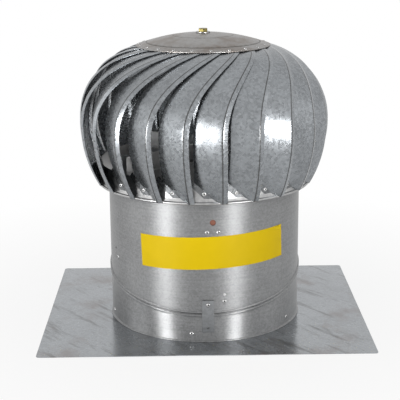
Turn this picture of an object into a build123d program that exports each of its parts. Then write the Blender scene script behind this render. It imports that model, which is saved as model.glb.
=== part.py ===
from build123d import *
from math import acos, asin, atan2, cos, degrees, hypot, radians, sin, sqrt
import os

os.makedirs("parts", exist_ok=True)

# ---------------------------------------------------------------- driving dimensions (mm)
# Flashing plate
plate_length = 500.0
plate_width = 400.0
plate_thickness = 1.0
plate_corner = 12.0
collar_height = 17.0
base_rivet_count = 5
base_rivet_azimuth = -8.7
base_rivet_pitch = 65.4
base_rivet_height = 13.0

# Throat: two tubes that meet on a slanted swivel seam
throat_radius = 150.0
throat_sheet = 0.8
throat_top = 216.2
seam_height = 82.8
seam_tilt = 15.0
seam_gap = 0.5
lower_collar = 6.6
upper_collar = 6.0
bead_rise = 2.0
lower_bead = 4.4
upper_bead = 3.0
bead_side = 1.0
seam_step = 1.2
seam_nest = 0.6
rim_hem = 5.2
rim_rise = 2.0
rim_straight = 6.0

# Clips that hold the seam together, and the strap that bridges it
clip_width = 14.0
clip_sheet = 1.0
clip_azimuths = (10.5, -67.5, 128.0, -150.0)
clip_rivet_rises = (18.5, 42.0, 20.0, 20.0)
clip_gap = 0.6
clip_margin = 5.0
toe_reach = 0.6
spare_hole_rise = 10.5
spare_hole_radius = 1.8
strap_width = 18.0
strap_height = 50.0
strap_bottom = 16.0
strap_sheet = 1.2
strap_corner = 1.0
strap_stand_off = 0.5
strap_azimuth = 0.9
strap_rivet_inset = 7.0

# Label band
label_azimuth = 5.0
label_length = 212.0
label_height = 50.0
label_middle = 140.6
label_tilt = 1.9
label_sheet = 0.3

# Shaft and the three-arm bracket that carries it
shaft_radius = 6.0
shaft_tail = 11.0
bracket_azimuth = 3.8
bracket_arms = 3
bracket_height = 158.0
arm_width = 28.0
arm_sheet = 3.0
arm_clearance = 1.0
foot_rise = 38.0
foot_gap = 0.5
foot_rivet_pitch = 17.0
bracket_rivet_height = 171.8
access_hole_radius = 4.5
access_hole_height = 187.0
hub_radius = 15.0
hub_height = 34.0
hub_flange_radius = 34.0
hub_flange_thickness = 4.0
hub_screw_radius = 24.0

# Rotor ring and its cross brace
ring_radius = 163.0
ring_bottom = 218.0
ring_height = 34.0
ring_flange = 4.5
ring_sheet = 0.9
brace_arms = 4
brace_azimuth = -49.5
brace_bottom = 251.0
brace_foot_width = 22.0
brace_foot_drop = 24.0
brace_height = 28.0
brace_flange = 14.0
brace_sheet = 1.2
brace_plate_radius = 40.0
brace_plate_sheet = 2.0
brace_plate_rivet_radius = 30.0
brace_rivet_inset = 9.0
brace_hub_radius = 13.0
lower_bush_wall = 3.0
lower_bush_flange = 12.0
lower_bush_lip = 2.0

# Vanes
vane_count = 22
vane_sheet = 0.6
vane_azimuth = 6.8
vane_waist_radius = 194.0
vane_waist_height = 312.8
vane_lower_arc = 186.6
vane_upper_arc = 118.2
vane_top_angle = 81.0
vane_width = 43.0
vane_top_width = 29.0
vane_foot_width = 46.0
vane_pitch = 26.5
vane_foot_pitch = 34.0
vane_top_pitch = 5.0
vane_sweep = 48.0
lip_width = 8.0
lip_bend = 45.0
lip_top_bend = 7.0
curl_width = 5.0
curl_bend = 70.0
flap_width = 8.3
flap_lap = 0.6
fold_low_azimuth = 6.0
fold_high_azimuth = -8.0
fold_high_level = 257.8
curl_foot_width = 1.0
vane_foot_sweep = 1.5
flap_rivet_azimuth = -0.9
flap_rivet_height = 233.8
vane_foot_drop = 5.0
lower_stations = 4
upper_stations = 8

# Top of the rotor
dome_radius = 103.2
dome_crease_radius = 87.0
dome_crease_height = 433.8
dome_apex_height = 446.8
dome_sheet = 0.8
top_plate_radius = 98.0
top_plate_sheet = 1.5
housing_radius = 16.0
housing_flange_radius = 30.0
housing_flange_thickness = 4.0
housing_drop = 26.0
housing_rivets = 4
housing_rivet_radius = 23.0
bush_length = 16.0
bush_wall = 3.0
button_radius = 4.0
button_height = 8.0
button_chamfer = 0.8
washer_radius = 11.0
washer_thickness = 1.6
bolt_radius = 4.0
bolt_across_flats = 13.0
bolt_head = 4.8
bolt_length = 16.0
thrust_wall = 6.0
button_pocket = 4.0

# Fasteners and fits
rivet_hole = 1.7
rivet_head = 3.2
rivet_head_height = 1.0
rivet_taper = 40.0
screw_radius = 2.5
nut_across_flats = 19.0
nut_height = 8.0
fit_gap = 0.3
hole_gap = 0.1
drill_depth = 8.0
running_fit = 0.05
press_fit = 0.02

# ---------------------------------------------------------------- worked-out values
plate_top = plate_thickness
throat_inner = throat_radius - throat_sheet
tilt = radians(seam_tilt)
seam_origin = Vector(0, 0, seam_height)
seam_normal = Vector(0, -sin(tilt), cos(tilt))
seam_across = Vector(0, cos(tilt), sin(tilt))
seam_plane = Plane(seam_origin, x_dir=(1, 0, 0), z_dir=seam_normal)
seam_section = Plane(seam_origin, x_dir=(1, 0, 0), z_dir=Vector(1, 0, 0).cross(seam_normal))
seam_axis = Axis(seam_origin, seam_normal)
straight_start = throat_top - rim_straight
ring_inner = ring_radius - ring_sheet
ring_top = ring_bottom + ring_height
vane_pitch_angle = 360.0 / vane_count


def outward(azimuth):
    """Unit vector from the axis; azimuth 0 is the front (-Y) and grows towards +X."""
    return Vector(sin(radians(azimuth)), -cos(radians(azimuth)), 0)


def around(azimuth):
    """Unit vector along the circle, towards growing azimuth."""
    return Vector(cos(radians(azimuth)), sin(radians(azimuth)), 0)


def section_plane(azimuth):
    """Upright half plane through the axis: X is the radius, Y the height."""
    return Plane((0, 0, 0), x_dir=outward(azimuth), z_dir=around(azimuth) * -1)


def wall_plane(azimuth, radius, height):
    """Plane that touches a wall from outside: X along the wall, Y up, Z outward."""
    origin = outward(azimuth) * radius + Vector(0, 0, height)
    return Plane(origin, x_dir=around(azimuth), z_dir=outward(azimuth))


def sheet_outline(path, thickness):
    """Outline of a bent strip: path is one face, the other face lies to its left."""
    points = [Vector(*point) for point in path]
    runs = [(b - a).normalized() for a, b in zip(points, points[1:])]
    sides = [Vector(-run.Y, run.X) for run in runs]
    far_side = []
    for i, point in enumerate(points):
        before = sides[max(i - 1, 0)]
        after = sides[min(i, len(sides) - 1)]
        mitre = (before + after).normalized()
        far_side.append(point + mitre * (thickness / mitre.dot(before)))
    return [*points, *reversed(far_side)]


def lower_core(radius):
    """Solid that fills the lower tube up to its collar."""
    with BuildPart() as core:
        with BuildSketch(Plane.XY.offset(plate_top)):
            Circle(radius)
        with BuildSketch(seam_plane.offset(-lower_collar)):
            Circle(radius)
        loft(ruled=True)
    return core.part


def upper_core(radius):
    """Solid that fills the upper tube from its collar to the rim."""
    with BuildPart() as core:
        with BuildSketch(seam_plane.offset(upper_collar)):
            Circle(radius)
        with BuildSketch(Plane.XY.offset(straight_start)):
            Circle(radius)
        loft(ruled=True)
        with BuildSketch(Plane.XY.offset(straight_start)):
            Circle(radius)
        extrude(amount=rim_straight)
    return core.part


def lower_wall_point(azimuth, height):
    """Point on the outside of the lower tube."""
    side, depth = sin(radians(azimuth)), -cos(radians(azimuth))
    collar = seam_origin - seam_normal * lower_collar
    collar += (Vector(1, 0, 0) * side + seam_across * depth) * throat_radius
    base = Vector(side, depth, 0) * throat_radius + Vector(0, 0, plate_top)
    return base + (collar - base) * ((height - base.Z) / (collar.Z - base.Z))


def upper_wall_point(azimuth, height):
    """Point on the outside of the upper tube."""
    side, depth = sin(radians(azimuth)), -cos(radians(azimuth))
    collar = seam_origin + seam_normal * upper_collar
    collar += (Vector(1, 0, 0) * side + seam_across * depth) * throat_radius
    rim = Vector(side, depth, 0) * throat_radius + Vector(0, 0, straight_start)
    return collar + (rim - collar) * min((height - collar.Z) / (rim.Z - collar.Z), 1.0)


def upper_wall_from_seam(azimuth, rise):
    """Point on the outside of the upper tube, by azimuth about the seam's axis and rise."""
    ruling = azimuth
    for _ in range(5):
        side, depth = sin(radians(ruling)), -cos(radians(ruling))
        rim = Vector(side, depth, 0) * throat_radius + Vector(0, 0, straight_start) - seam_origin
        share = max((rise - upper_collar) / (rim.dot(seam_normal) - upper_collar), 0.0)
        start = depth * throat_radius
        across = start + (rim.dot(seam_across) - start) * share
        ruling += azimuth - degrees(atan2(side * throat_radius, -across))
    return seam_origin + Vector(side * throat_radius, 0, 0) + seam_across * across + seam_normal * rise


def touching_plane(point_at, azimuth, level):
    """Plane that touches a wall at one of its points: X along the wall, Z outward."""
    side = point_at(azimuth + 0.5, level) - point_at(azimuth - 0.5, level)
    up = point_at(azimuth, level + 0.5) - point_at(azimuth, level - 0.5)
    return Plane(point_at(azimuth, level), x_dir=side, z_dir=side.cross(up))


def radius_at(point_at, azimuth, level):
    """Distance of a wall from the upright axis."""
    point = point_at(azimuth, level)
    return hypot(point.X, point.Y)


def seam_direction(azimuth):
    """Unit vector from the seam's axis, in the seam plane."""
    side, depth = sin(radians(azimuth)), -cos(radians(azimuth))
    return Vector(1, 0, 0) * side + seam_across * depth


def rivet_heads(label, planes):
    """Closed rivet heads that seat on a sheet's outer face, one for each plane."""
    with BuildPart() as heads:
        for plane in planes:
            with BuildSketch(plane):
                Circle(rivet_head)
            extrude(amount=rivet_head_height, taper=rivet_taper)
    save(label, heads.part)


def hex_nut(across_flats, height, bore):
    """Hexagon nut standing on Z = 0."""
    with BuildPart() as nut:
        with BuildSketch():
            RegularPolygon(across_flats / 2, 6, major_radius=False)
            Circle(bore, mode=Mode.SUBTRACT)
        extrude(amount=height)
    return nut.part


def save(label, part):
    """Label a finished piece and write its STEP file."""
    part.label = label
    export_step(part, f"parts/{label}.step")


# ---------------------------------------------------------------- flashing plate and collar
collar_radius = throat_inner - fit_gap
opening_radius = collar_radius - plate_thickness
with BuildPart() as base_plate:
    with BuildSketch():
        RectangleRounded(plate_length, plate_width, plate_corner)
        Circle(opening_radius, mode=Mode.SUBTRACT)
    extrude(amount=plate_thickness)
save("base_plate", base_plate.part)

with BuildPart() as base_collar:
    add(lower_core(collar_radius))
    add(lower_core(opening_radius), mode=Mode.SUBTRACT)
    split(bisect_by=Plane.XY.offset(plate_top + collar_height), keep=Keep.BOTTOM)
save("base_collar", base_collar.part)

base_rivets_at = [
    touching_plane(lower_wall_point, azimuth, base_rivet_height)
    for azimuth in (
        base_rivet_azimuth + base_rivet_pitch * (i - base_rivet_count // 2)
        for i in range(base_rivet_count)
    )
]
rivet_heads("base_rivets", base_rivets_at)

# ---------------------------------------------------------------- lower throat
lower_collar_path = [
    (throat_radius, -lower_collar),
    (throat_radius, -seam_step - lower_bead),
    (throat_radius + bead_rise, -seam_step - lower_bead + bead_side),
    (throat_radius + bead_rise, -seam_step - bead_side),
    (throat_radius, -seam_step),
    (throat_radius, -seam_gap / 2),
]
with BuildPart() as lower_throat:
    add(lower_core(throat_radius))
    add(lower_core(throat_inner), mode=Mode.SUBTRACT)
    with BuildSketch(seam_section):
        with BuildLine():
            Polyline(*sheet_outline(lower_collar_path, throat_sheet), close=True)
        make_face()
    revolve(axis=seam_axis)
save("lower_throat", lower_throat.part)

# ---------------------------------------------------------------- upper throat
lip_radius = throat_inner - seam_gap
upper_collar_path = [
    (lip_radius, -seam_gap / 2 - seam_nest),
    (lip_radius, seam_gap / 2),
    (throat_radius, seam_step),
    (throat_radius + bead_rise, seam_step + bead_side),
    (throat_radius + bead_rise, seam_step + upper_bead - bead_side),
    (throat_radius, seam_step + upper_bead),
    (throat_radius, upper_collar),
]
bracket_azimuths = [bracket_azimuth + 360.0 / bracket_arms * i for i in range(bracket_arms)]
rivet_side = degrees(foot_rivet_pitch / 2 / throat_radius)
foot_flat = (arm_width / 2) ** 2 / 2 / throat_radius
bracket_rivets_at = [
    touching_plane(upper_wall_point, azimuth + side, bracket_rivet_height)
    for azimuth in bracket_azimuths
    for side in (-rivet_side, rivet_side)
]
clip_rivets_at = [
    touching_plane(upper_wall_from_seam, azimuth, rise)
    for azimuth, rise in zip(clip_azimuths, clip_rivet_rises)
]
spare_holes_at = [
    touching_plane(upper_wall_from_seam, azimuth, rise + spare_hole_rise)
    for azimuth, rise in zip(clip_azimuths, clip_rivet_rises)
]
strap_radius = throat_radius * cos(tilt) + bead_rise + fit_gap + strap_stand_off
strap_rivet_height = strap_bottom + strap_height - strap_rivet_inset
access_hole_at = wall_plane(bracket_azimuth, throat_radius, access_hole_height)

with BuildPart() as upper_throat:
    add(upper_core(throat_radius))
    with BuildSketch(Plane.XY.offset(throat_top - rim_hem)):
        Circle(throat_radius + rim_rise)
    extrude(amount=rim_hem)
    add(upper_core(throat_inner), mode=Mode.SUBTRACT)
    with BuildSketch(seam_section):
        with BuildLine():
            Polyline(*sheet_outline(upper_collar_path, throat_sheet), close=True)
        make_face()
    revolve(axis=seam_axis)
    with Locations(*spare_holes_at):
        Cylinder(spare_hole_radius, drill_depth, mode=Mode.SUBTRACT)
    with Locations(access_hole_at):
        Cylinder(access_hole_radius, drill_depth, mode=Mode.SUBTRACT)
save("upper_throat", upper_throat.part)

# ---------------------------------------------------------------- seam clips and strap
toe_height = -seam_step - lower_bead / 2 + clip_sheet / 2
toe_radius = throat_inner + bead_rise * toe_reach
leg_radius = lip_radius - throat_sheet - fit_gap
with BuildPart() as seam_clips:
    for azimuth, rise in zip(clip_azimuths, clip_rivet_rises):
        direction = seam_direction(azimuth)
        profile_plane = Plane(seam_origin, x_dir=direction, z_dir=direction.cross(seam_normal))
        clip_path = [(toe_radius, toe_height), (leg_radius, toe_height), (leg_radius, upper_collar)]
        for level in (rise - clip_margin, rise + clip_margin):
            wall = (upper_wall_from_seam(azimuth, level) - seam_origin).dot(direction)
            clip_path.append((wall - throat_sheet - clip_gap, level))
        with BuildSketch(profile_plane):
            with BuildLine():
                Polyline(*sheet_outline(clip_path, clip_sheet), close=True)
            make_face()
        extrude(amount=clip_width / 2, both=True)
save("seam_clips", seam_clips.part)

with BuildPart() as lock_strap:
    with BuildSketch(wall_plane(strap_azimuth, strap_radius, strap_bottom)):
        with Locations((0, strap_height / 2)):
            RectangleRounded(strap_width, strap_height, strap_corner)
        with Locations((0, strap_rivet_inset)):
            Circle(rivet_hole, mode=Mode.SUBTRACT)
    extrude(amount=strap_sheet)
save("lock_strap", lock_strap.part)

strap_rivet_at = wall_plane(strap_azimuth, strap_radius + strap_sheet, strap_rivet_height)
rivet_heads("throat_rivets", [*bracket_rivets_at, *clip_rivets_at, strap_rivet_at])

# ---------------------------------------------------------------- label band
with BuildPart() as label_band:
    add(upper_core(throat_radius + hole_gap + label_sheet))
    add(upper_core(throat_radius + hole_gap), mode=Mode.SUBTRACT)
    with BuildSketch(wall_plane(label_azimuth, throat_radius / 2, label_middle)):
        Rectangle(label_length, label_height, rotation=label_tilt)
    extrude(amount=throat_radius, mode=Mode.INTERSECT)
save("label_band", label_band.part)

# ---------------------------------------------------------------- shaft bracket
for number, azimuth in enumerate(bracket_azimuths, start=1):
    arm_path = [(hub_radius + arm_clearance, bracket_height)]
    for level in (bracket_height, bracket_height + foot_rise):
        wall = radius_at(upper_wall_point, azimuth, level) - throat_sheet
        arm_path.append((wall - foot_flat - foot_gap, level))
    with BuildPart() as bracket_arm:
        with BuildSketch(section_plane(azimuth)):
            with BuildLine():
                Polyline(*sheet_outline(arm_path, arm_sheet), close=True)
            make_face()
        extrude(amount=arm_width / 2, both=True)
        with Locations(outward(azimuth) * hub_screw_radius + Vector(0, 0, bracket_height)):
            Cylinder(screw_radius + hole_gap, drill_depth * 3, mode=Mode.SUBTRACT)
    save(f"bracket_arm_{number}", bracket_arm.part)

hub_bottom = bracket_height - hub_flange_thickness
hub_top = hub_bottom + hub_height
with BuildPart() as bracket_hub:
    with BuildSketch(Plane.XY.offset(hub_bottom)):
        Circle(hub_flange_radius)
    extrude(amount=hub_flange_thickness)
    with BuildSketch(Plane.XY.offset(hub_bottom)):
        Circle(hub_radius)
    extrude(amount=hub_height)
    with BuildSketch(Plane.XY.offset(hub_bottom)):
        Circle(shaft_radius + running_fit)
        for azimuth in bracket_azimuths:
            with Locations(outward(azimuth) * hub_screw_radius):
                Circle(screw_radius + running_fit)
    extrude(amount=hub_height, mode=Mode.SUBTRACT)
save("bracket_hub", bracket_hub.part)

with BuildPart() as hub_screws:
    for azimuth in bracket_azimuths:
        spot = outward(azimuth) * hub_screw_radius
        with BuildSketch(Plane(spot + Vector(0, 0, bracket_height + arm_sheet))):
            RegularPolygon(screw_radius * 1.6, 6, major_radius=False)
        extrude(amount=screw_radius * 1.4)
        with BuildSketch(Plane(spot + Vector(0, 0, bracket_height + arm_sheet))):
            Circle(screw_radius)
        extrude(amount=-arm_sheet - hub_flange_thickness)
save("hub_screws", hub_screws.part)

# ---------------------------------------------------------------- rotor ring
vane_azimuths = [vane_pitch_angle * i for i in range(vane_count)]
flap_radius = ring_radius + hole_gap
vane_rivets_at = [
    wall_plane(azimuth + flap_rivet_azimuth, flap_radius + vane_sheet, flap_rivet_height)
    for azimuth in vane_azimuths
]
brace_azimuths = [brace_azimuth + 360.0 / brace_arms * i for i in range(brace_arms)]
brace_foot_radius = sqrt(ring_inner ** 2 - (brace_foot_width / 2) ** 2) - fit_gap
ring_path = [
    (ring_inner, ring_top),
    (ring_inner, ring_bottom),
    (ring_radius + ring_flange, ring_bottom),
]
with BuildPart() as rotor_ring:
    with BuildSketch(section_plane(0)):
        with BuildLine():
            Polyline(*sheet_outline(ring_path, ring_sheet), close=True)
        make_face()
    revolve(axis=Axis.Z)
save("rotor_ring", rotor_ring.part)

# ---------------------------------------------------------------- vanes
foot_level = ring_bottom + ring_sheet + fit_gap
foot_angle = degrees(asin((foot_level - vane_foot_drop - vane_waist_height) / vane_lower_arc))


def vane_station(angle):
    """Section plane and outline of a vane at an angle up its meridian arc.

    The crease is the plane's origin, X runs along the circle and Y towards the inside.
    """
    upper = angle > 0
    arc = vane_upper_arc if upper else vane_lower_arc
    radius = vane_waist_radius - arc * (1 - cos(radians(angle)))
    height = vane_waist_height + arc * sin(radians(angle))
    level = cos(radians(angle)) ** 2
    if upper:
        pitch = vane_top_pitch + (vane_pitch - vane_top_pitch) * level
        sweep = vane_sweep * (1 - cos(radians(angle))) ** 1.2
        width = vane_top_width + (vane_width - vane_top_width) * min(1, 2.2 * level)
        bend = lip_top_bend + (lip_bend - lip_top_bend) * level
        curl = curl_width
    else:
        share = (sin(radians(angle)) / sin(radians(foot_angle))) ** 2
        pitch = vane_pitch + (vane_foot_pitch - vane_pitch) * share
        sweep = vane_foot_sweep * share
        width = vane_width + (vane_foot_width - vane_width) * share
        bend = lip_bend
        curl = curl_width + (curl_foot_width - curl_width) * share
    azimuth = vane_azimuth + sweep
    climb = outward(azimuth) * -sin(radians(angle)) + Vector(0, 0, cos(radians(angle)))
    crease = outward(azimuth) * radius + Vector(0, 0, height)
    left = Vector(-cos(radians(pitch)), sin(radians(pitch))) * width
    turn = radians(pitch + curl_bend * level)
    curl_edge = left + Vector(-cos(turn), sin(turn)) * curl
    lip_edge = Vector(cos(radians(bend - pitch)), sin(radians(bend - pitch))) * lip_width
    path = [tuple(point)[:2] for point in (curl_edge, left, Vector(0, 0), lip_edge)]
    return Plane(crease, x_dir=around(azimuth), z_dir=climb), sheet_outline(path, vane_sheet)


angles = [foot_angle * (1 - i / lower_stations) for i in range(lower_stations)]
angles += [vane_top_angle * i / upper_stations for i in range(upper_stations + 1)]
fold_low = Vector(radians(fold_low_azimuth) * flap_radius, foot_level)
fold_high = Vector(radians(fold_high_azimuth) * flap_radius, fold_high_level)
fold_run = (fold_high - fold_low).normalized()
fold_side = Vector(-fold_run.Y, fold_run.X)
flap_low = fold_low - fold_run * vane_foot_drop * 2

with BuildPart() as vane:
    for angle in angles:
        station_plane, outline = vane_station(angle)
        with BuildSketch(station_plane):
            with BuildLine():
                Polyline(*outline, close=True)
            make_face()
    loft()
    with BuildSketch():
        Circle(flap_radius)
    extrude(amount=vane_waist_height, mode=Mode.SUBTRACT)
    with BuildSketch(Plane.XY.offset(ring_bottom)):
        Rectangle(2 * plate_length, 2 * plate_length)
    extrude(amount=foot_level - ring_bottom, mode=Mode.SUBTRACT)
    with BuildSketch(Plane.XY.offset(ring_bottom)):
        Rectangle(2 * plate_length, 2 * plate_length)
    extrude(amount=-2 * vane_foot_drop, mode=Mode.SUBTRACT)

with BuildPart() as flap:
    with BuildSketch(Plane.XY.offset(foot_level)):
        Circle(flap_radius + vane_sheet)
        Circle(flap_radius, mode=Mode.SUBTRACT)
    extrude(amount=fold_high_level - foot_level)
    with BuildSketch(wall_plane(0, 0, 0)):
        with BuildLine():
            Polyline(
                tuple(flap_low - fold_side * flap_lap)[:2],
                tuple(fold_high - fold_side * flap_lap)[:2],
                tuple(fold_high + fold_side * flap_width)[:2],
                tuple(flap_low + fold_side * flap_width)[:2],
                close=True,
            )
        make_face()
    extrude(amount=plate_length, mode=Mode.INTERSECT)

for number, azimuth in enumerate(vane_azimuths, start=1):
    with BuildPart() as placed_vane:
        with Locations(Rot(0, 0, azimuth)):
            add(vane.part)
            add(flap.part)
    save(f"vane_{number:02d}", placed_vane.part)

rivet_heads("vane_rivets", vane_rivets_at)

# ---------------------------------------------------------------- levels at the top of the rotor
dome_fall = dome_apex_height - dome_crease_height
dome_sphere = (dome_crease_radius ** 2 + dome_fall ** 2) / 2 / dome_fall
dome_hole = bolt_radius + fit_gap


def dome_height(radius):
    """Height of the outside of the crowned part of the dome."""
    return dome_apex_height - dome_sphere + sqrt(dome_sphere ** 2 - radius ** 2)


def vane_angle_at(radius):
    """Angle up the upper arc at which a vane's crease has a radius."""
    return degrees(acos(1 - (vane_waist_radius - radius) / vane_upper_arc))


rim_angle = vane_angle_at(dome_radius)
dome_rim_height = vane_waist_height + vane_upper_arc * sin(radians(rim_angle)) + fit_gap + dome_sheet
seat_plane, seat_outline = vane_station(vane_angle_at(top_plate_radius))
vane_underside = min(seat_plane.from_local_coords(point).Z for point in seat_outline)
top_plate_level = vane_underside - fit_gap - top_plate_sheet
housing_flange_level = top_plate_level + top_plate_sheet
housing_bottom = top_plate_level - housing_drop
housing_top = dome_height(housing_radius) - dome_sheet - fit_gap
thread_bottom = dome_apex_height + washer_thickness - bolt_length
thrust_face = thread_bottom - thrust_wall
shaft_top = thrust_face - running_fit - button_height + button_pocket

# ---------------------------------------------------------------- shaft
with BuildPart() as shaft:
    with BuildSketch(Plane.XY.offset(hub_bottom - nut_height - shaft_tail)):
        Circle(shaft_radius)
    extrude(amount=shaft_top - hub_bottom + nut_height + shaft_tail)
    chamfer(shaft.edges().filter_by(GeomType.CIRCLE), length=0.8)
    with BuildSketch(Plane.XY.offset(shaft_top)):
        Circle(button_radius + running_fit)
    extrude(amount=-button_pocket, mode=Mode.SUBTRACT)
save("shaft", shaft.part)

with BuildPart() as shaft_nuts:
    nut = hex_nut(nut_across_flats, nut_height, shaft_radius + running_fit)
    with Locations((0, 0, hub_bottom - nut_height), (0, 0, hub_top)):
        add(nut)
save("shaft_nuts", shaft_nuts.part)

with BuildPart() as thrust_button:
    with BuildSketch(Plane.XY.offset(shaft_top - button_pocket)):
        Circle(button_radius)
    extrude(amount=button_height)
    chamfer(thrust_button.edges().group_by(Axis.Z)[-1], length=button_chamfer)
save("thrust_button", thrust_button.part)

# ---------------------------------------------------------------- cross brace
brace_top = brace_bottom + brace_height
brace_foot_bottom = ring_top - brace_foot_drop
plate_levels = (brace_bottom - brace_plate_sheet, brace_top)
for number, azimuth in enumerate(brace_azimuths, start=1):
    start = brace_hub_radius + arm_clearance
    channel_plane = Plane(
        outward(azimuth) * start + Vector(0, 0, brace_bottom),
        x_dir=around(azimuth),
        z_dir=outward(azimuth),
    )
    with BuildPart() as brace_arm:
        with BuildSketch(channel_plane):
            Rectangle(brace_flange, brace_height, align=(Align.MIN, Align.MIN))
            with Locations((brace_sheet, brace_sheet)):
                Rectangle(
                    brace_flange,
                    brace_height - 2 * brace_sheet,
                    align=(Align.MIN, Align.MIN),
                    mode=Mode.SUBTRACT,
                )
        extrude(amount=brace_foot_radius - start)
        with BuildSketch(wall_plane(azimuth, brace_foot_radius, brace_foot_bottom)):
            Rectangle(
                brace_foot_width, brace_top - brace_foot_bottom, align=(Align.CENTER, Align.MIN)
            )
        extrude(amount=-brace_sheet)
    save(f"brace_arm_{number}", brace_arm.part)

brace_rivets_at = [
    wall_plane(azimuth, ring_radius, ring_top - brace_rivet_inset) for azimuth in brace_azimuths
]
for azimuth in brace_azimuths:
    spot = outward(azimuth) * brace_plate_rivet_radius + around(azimuth) * brace_flange / 2
    above = spot + Vector(0, 0, brace_top + brace_plate_sheet)
    below = spot + Vector(0, 0, brace_bottom - brace_plate_sheet)
    brace_rivets_at += [Plane(above), Plane(below, z_dir=(0, 0, -1))]
rivet_heads("brace_rivets", brace_rivets_at)

for name, level in zip(("brace_plate_lower", "brace_plate_upper"), plate_levels):
    with BuildPart() as brace_plate:
        with BuildSketch(Plane.XY.offset(level)):
            Circle(brace_plate_radius)
            Circle(brace_hub_radius + hole_gap, mode=Mode.SUBTRACT)
        extrude(amount=brace_plate_sheet)
    save(name, brace_plate.part)

with BuildPart() as brace_hub:
    with BuildSketch(Plane.XY.offset(plate_levels[0])):
        Circle(brace_hub_radius)
        Circle(shaft_radius + running_fit + lower_bush_wall, mode=Mode.SUBTRACT)
    extrude(amount=brace_height + 2 * brace_plate_sheet)
save("brace_hub", brace_hub.part)

with BuildPart() as lower_bush:
    with BuildSketch(Plane.XY.offset(plate_levels[0])):
        Circle(shaft_radius + running_fit + lower_bush_wall - press_fit)
    extrude(amount=brace_height + 2 * brace_plate_sheet)
    with BuildSketch(Plane.XY.offset(brace_top + brace_plate_sheet)):
        Circle(lower_bush_flange)
    extrude(amount=lower_bush_lip)
    with BuildSketch(Plane.XY.offset(plate_levels[0])):
        Circle(shaft_radius + running_fit)
    extrude(amount=2 * brace_height, mode=Mode.SUBTRACT)
save("lower_bush", lower_bush.part)

# ---------------------------------------------------------------- top plate and bearing
with BuildPart() as top_plate:
    with BuildSketch(Plane.XY.offset(top_plate_level)):
        Circle(top_plate_radius)
        Circle(housing_radius + hole_gap, mode=Mode.SUBTRACT)
    extrude(amount=top_plate_sheet)
save("top_plate", top_plate.part)

bush_radius = shaft_radius + running_fit + bush_wall
with BuildPart() as bearing_housing:
    with BuildSketch(Plane.XY.offset(housing_bottom)):
        Circle(housing_radius)
    extrude(amount=housing_top - housing_bottom)
    with BuildSketch(Plane.XY.offset(housing_flange_level)):
        Circle(housing_flange_radius)
    extrude(amount=housing_flange_thickness)
    with BuildSketch(Plane.XY.offset(housing_bottom)):
        Circle(bush_radius)
    extrude(amount=thrust_face - housing_bottom, mode=Mode.SUBTRACT)
    with BuildSketch(Plane.XY.offset(thread_bottom)):
        Circle(bolt_radius + running_fit)
    extrude(amount=bolt_length, mode=Mode.SUBTRACT)
save("bearing_housing", bearing_housing.part)

with BuildPart() as top_bush:
    with BuildSketch(Plane.XY.offset(housing_bottom)):
        Circle(bush_radius - press_fit)
        Circle(shaft_radius + running_fit, mode=Mode.SUBTRACT)
    extrude(amount=bush_length)
save("top_bush", top_bush.part)

housing_rivets_at = []
for i in range(housing_rivets):
    spot = outward(360.0 / housing_rivets * i) * housing_rivet_radius
    housing_rivets_at.append(
        Plane(spot + Vector(0, 0, housing_flange_level + housing_flange_thickness))
    )
rivet_heads("housing_rivets", housing_rivets_at)

# ---------------------------------------------------------------- dome cap
with BuildPart() as dome_cap:
    with BuildSketch(section_plane(0)):
        with BuildLine():
            for drop in (0, dome_sheet):
                RadiusArc(
                    (dome_hole, dome_height(dome_hole) - drop),
                    (dome_crease_radius, dome_crease_height - drop),
                    dome_sphere,
                )
                Line(
                    (dome_crease_radius, dome_crease_height - drop),
                    (dome_radius, dome_rim_height - drop),
                )
            Line((dome_hole, dome_height(dome_hole)), (dome_hole, dome_height(dome_hole) - dome_sheet))
            Line((dome_radius, dome_rim_height), (dome_radius, dome_rim_height - dome_sheet))
        make_face()
    revolve(axis=Axis.Z)
save("dome_cap", dome_cap.part)

with BuildPart() as dome_washer:
    with BuildSketch(Plane.XY.offset(dome_apex_height)):
        Circle(washer_radius)
        Circle(bolt_radius + fit_gap, mode=Mode.SUBTRACT)
    extrude(amount=washer_thickness)
save("dome_washer", dome_washer.part)

with BuildPart() as dome_bolt:
    with BuildSketch(Plane.XY.offset(dome_apex_height + washer_thickness)):
        RegularPolygon(bolt_across_flats / 2, 6, major_radius=False)
    extrude(amount=bolt_head)
    with BuildSketch(Plane.XY.offset(dome_apex_height + washer_thickness)):
        Circle(bolt_radius)
    extrude(amount=-bolt_length)
save("dome_bolt", dome_bolt.part)
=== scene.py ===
# %% [markdown]
# # A wind-driven roof ventilator
#
# A bulb of folded metal vanes turns on a shaft above a round duct. The packed CAD model already has
# every piece at its real size. This notebook gives the visible pieces their fine shape and finish,
# one step at a time. Shapes are given in millimetres, as a sheet-metal worker writes them; lamps, the
# camera and places inside a shader are in metres, as Blender has them.

from math import asin, cos, degrees, pi, radians, sin, sqrt, tan

import bmesh
import bpy
from mathutils import Matrix, Vector, kdtree, noise


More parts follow.
